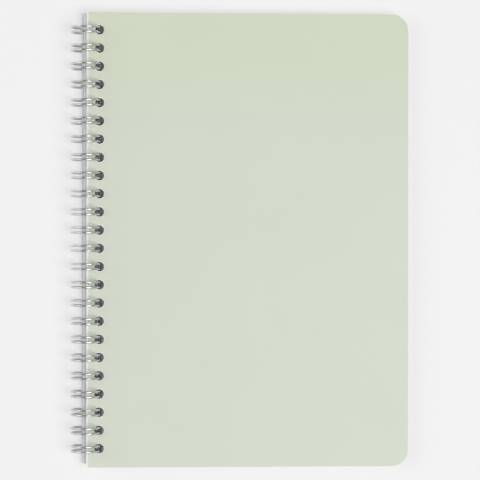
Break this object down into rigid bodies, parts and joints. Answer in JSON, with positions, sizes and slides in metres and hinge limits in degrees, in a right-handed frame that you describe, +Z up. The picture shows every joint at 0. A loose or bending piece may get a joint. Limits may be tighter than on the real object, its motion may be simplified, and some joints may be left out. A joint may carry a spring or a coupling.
{
  "type": "spiral notebook",
  "caption": "A5 notebook bound on the long side with a twin-loop wire, plain soft green covers with rounded outer corners, lying closed",
  "frame": {"origin": "middle of the footprint, on the table that the closed notebook lies on", "axes": "+Z up out of the front cover, +Y along the coil to the head of the pages, +X from the coil to the fore-edge"},
  "size_m": [0.158, 0.2116, 0.0141],
  "materials": {
    "cover": "smooth matt card, pale sage green, cut edges a little lighter",
    "paper": "uncoated white writing paper, sheet lines on the cut edges",
    "wire": "bright drawn steel wire, silver"
  },
  "bodies": {
    "pages_and_wire": {"page_block": "paper", "twin_loop_wire": "wire"},
    "front_cover": {"front_cover": "cover"},
    "back_cover": {"back_cover": "cover"}
  },
  "joints": [
    {"name": "front_cover_hinge", "type": "hinge", "parent": "pages_and_wire", "child": "front_cover", "pos_m": [-0.07182, 0, 0.00715], "axis": [0, -1, 0], "range_deg": [0, 180]},
    {"name": "back_cover_hinge", "type": "hinge", "parent": "pages_and_wire", "child": "back_cover", "pos_m": [-0.07182, 0, 0.00715], "axis": [0, 1, 0], "range_deg": [0, 180]}
  ]
}
